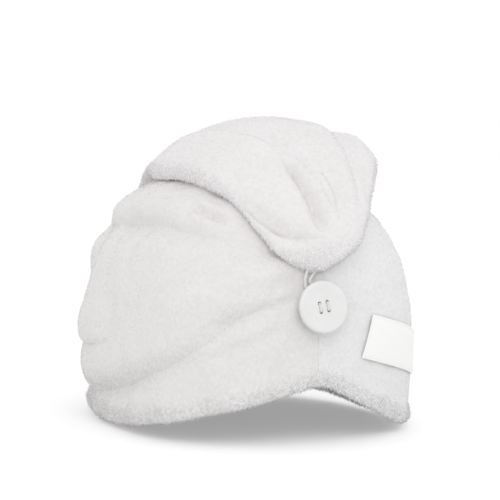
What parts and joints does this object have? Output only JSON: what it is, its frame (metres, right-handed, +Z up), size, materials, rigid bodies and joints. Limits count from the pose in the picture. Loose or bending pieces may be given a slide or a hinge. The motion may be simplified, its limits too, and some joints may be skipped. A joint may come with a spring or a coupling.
{
  "type": "hair turban towel",
  "caption": "Plush hair-drying turban, worn form: hood with rolled hem, twisted tail over the crown, elastic loop on a button at the nape, bare label.",
  "frame": {"origin": "middle of the head opening, at the height of the lowest hem at the sides", "axes": "+Z up towards the top of the head; +Y towards the nape, where the button is; -Y towards the forehead; +X towards the wearer's left, the side with the gathered folds"},
  "size_m": [0.181, 0.2407, 0.1782],
  "materials": {
    "plush": "white microfibre plush with a short soft pile on both faces, fully matte with a faint sheen at glancing angles",
    "elastic": "white braided elastic cord, matte",
    "button_resin": "off-white cast resin, soft polish",
    "thread": "off-white sewing thread",
    "label_satin": "white woven satin label, faint sheen, bare"
  },
  "bodies": {
    "root": {"crown_left_panel": "plush", "crown_right_panel": "plush", "twisted_tail": "plush", "elastic_loop": "elastic", "button": "button_resin", "button_thread": "thread", "label": "label_satin"}
  },
  "joints": []
}
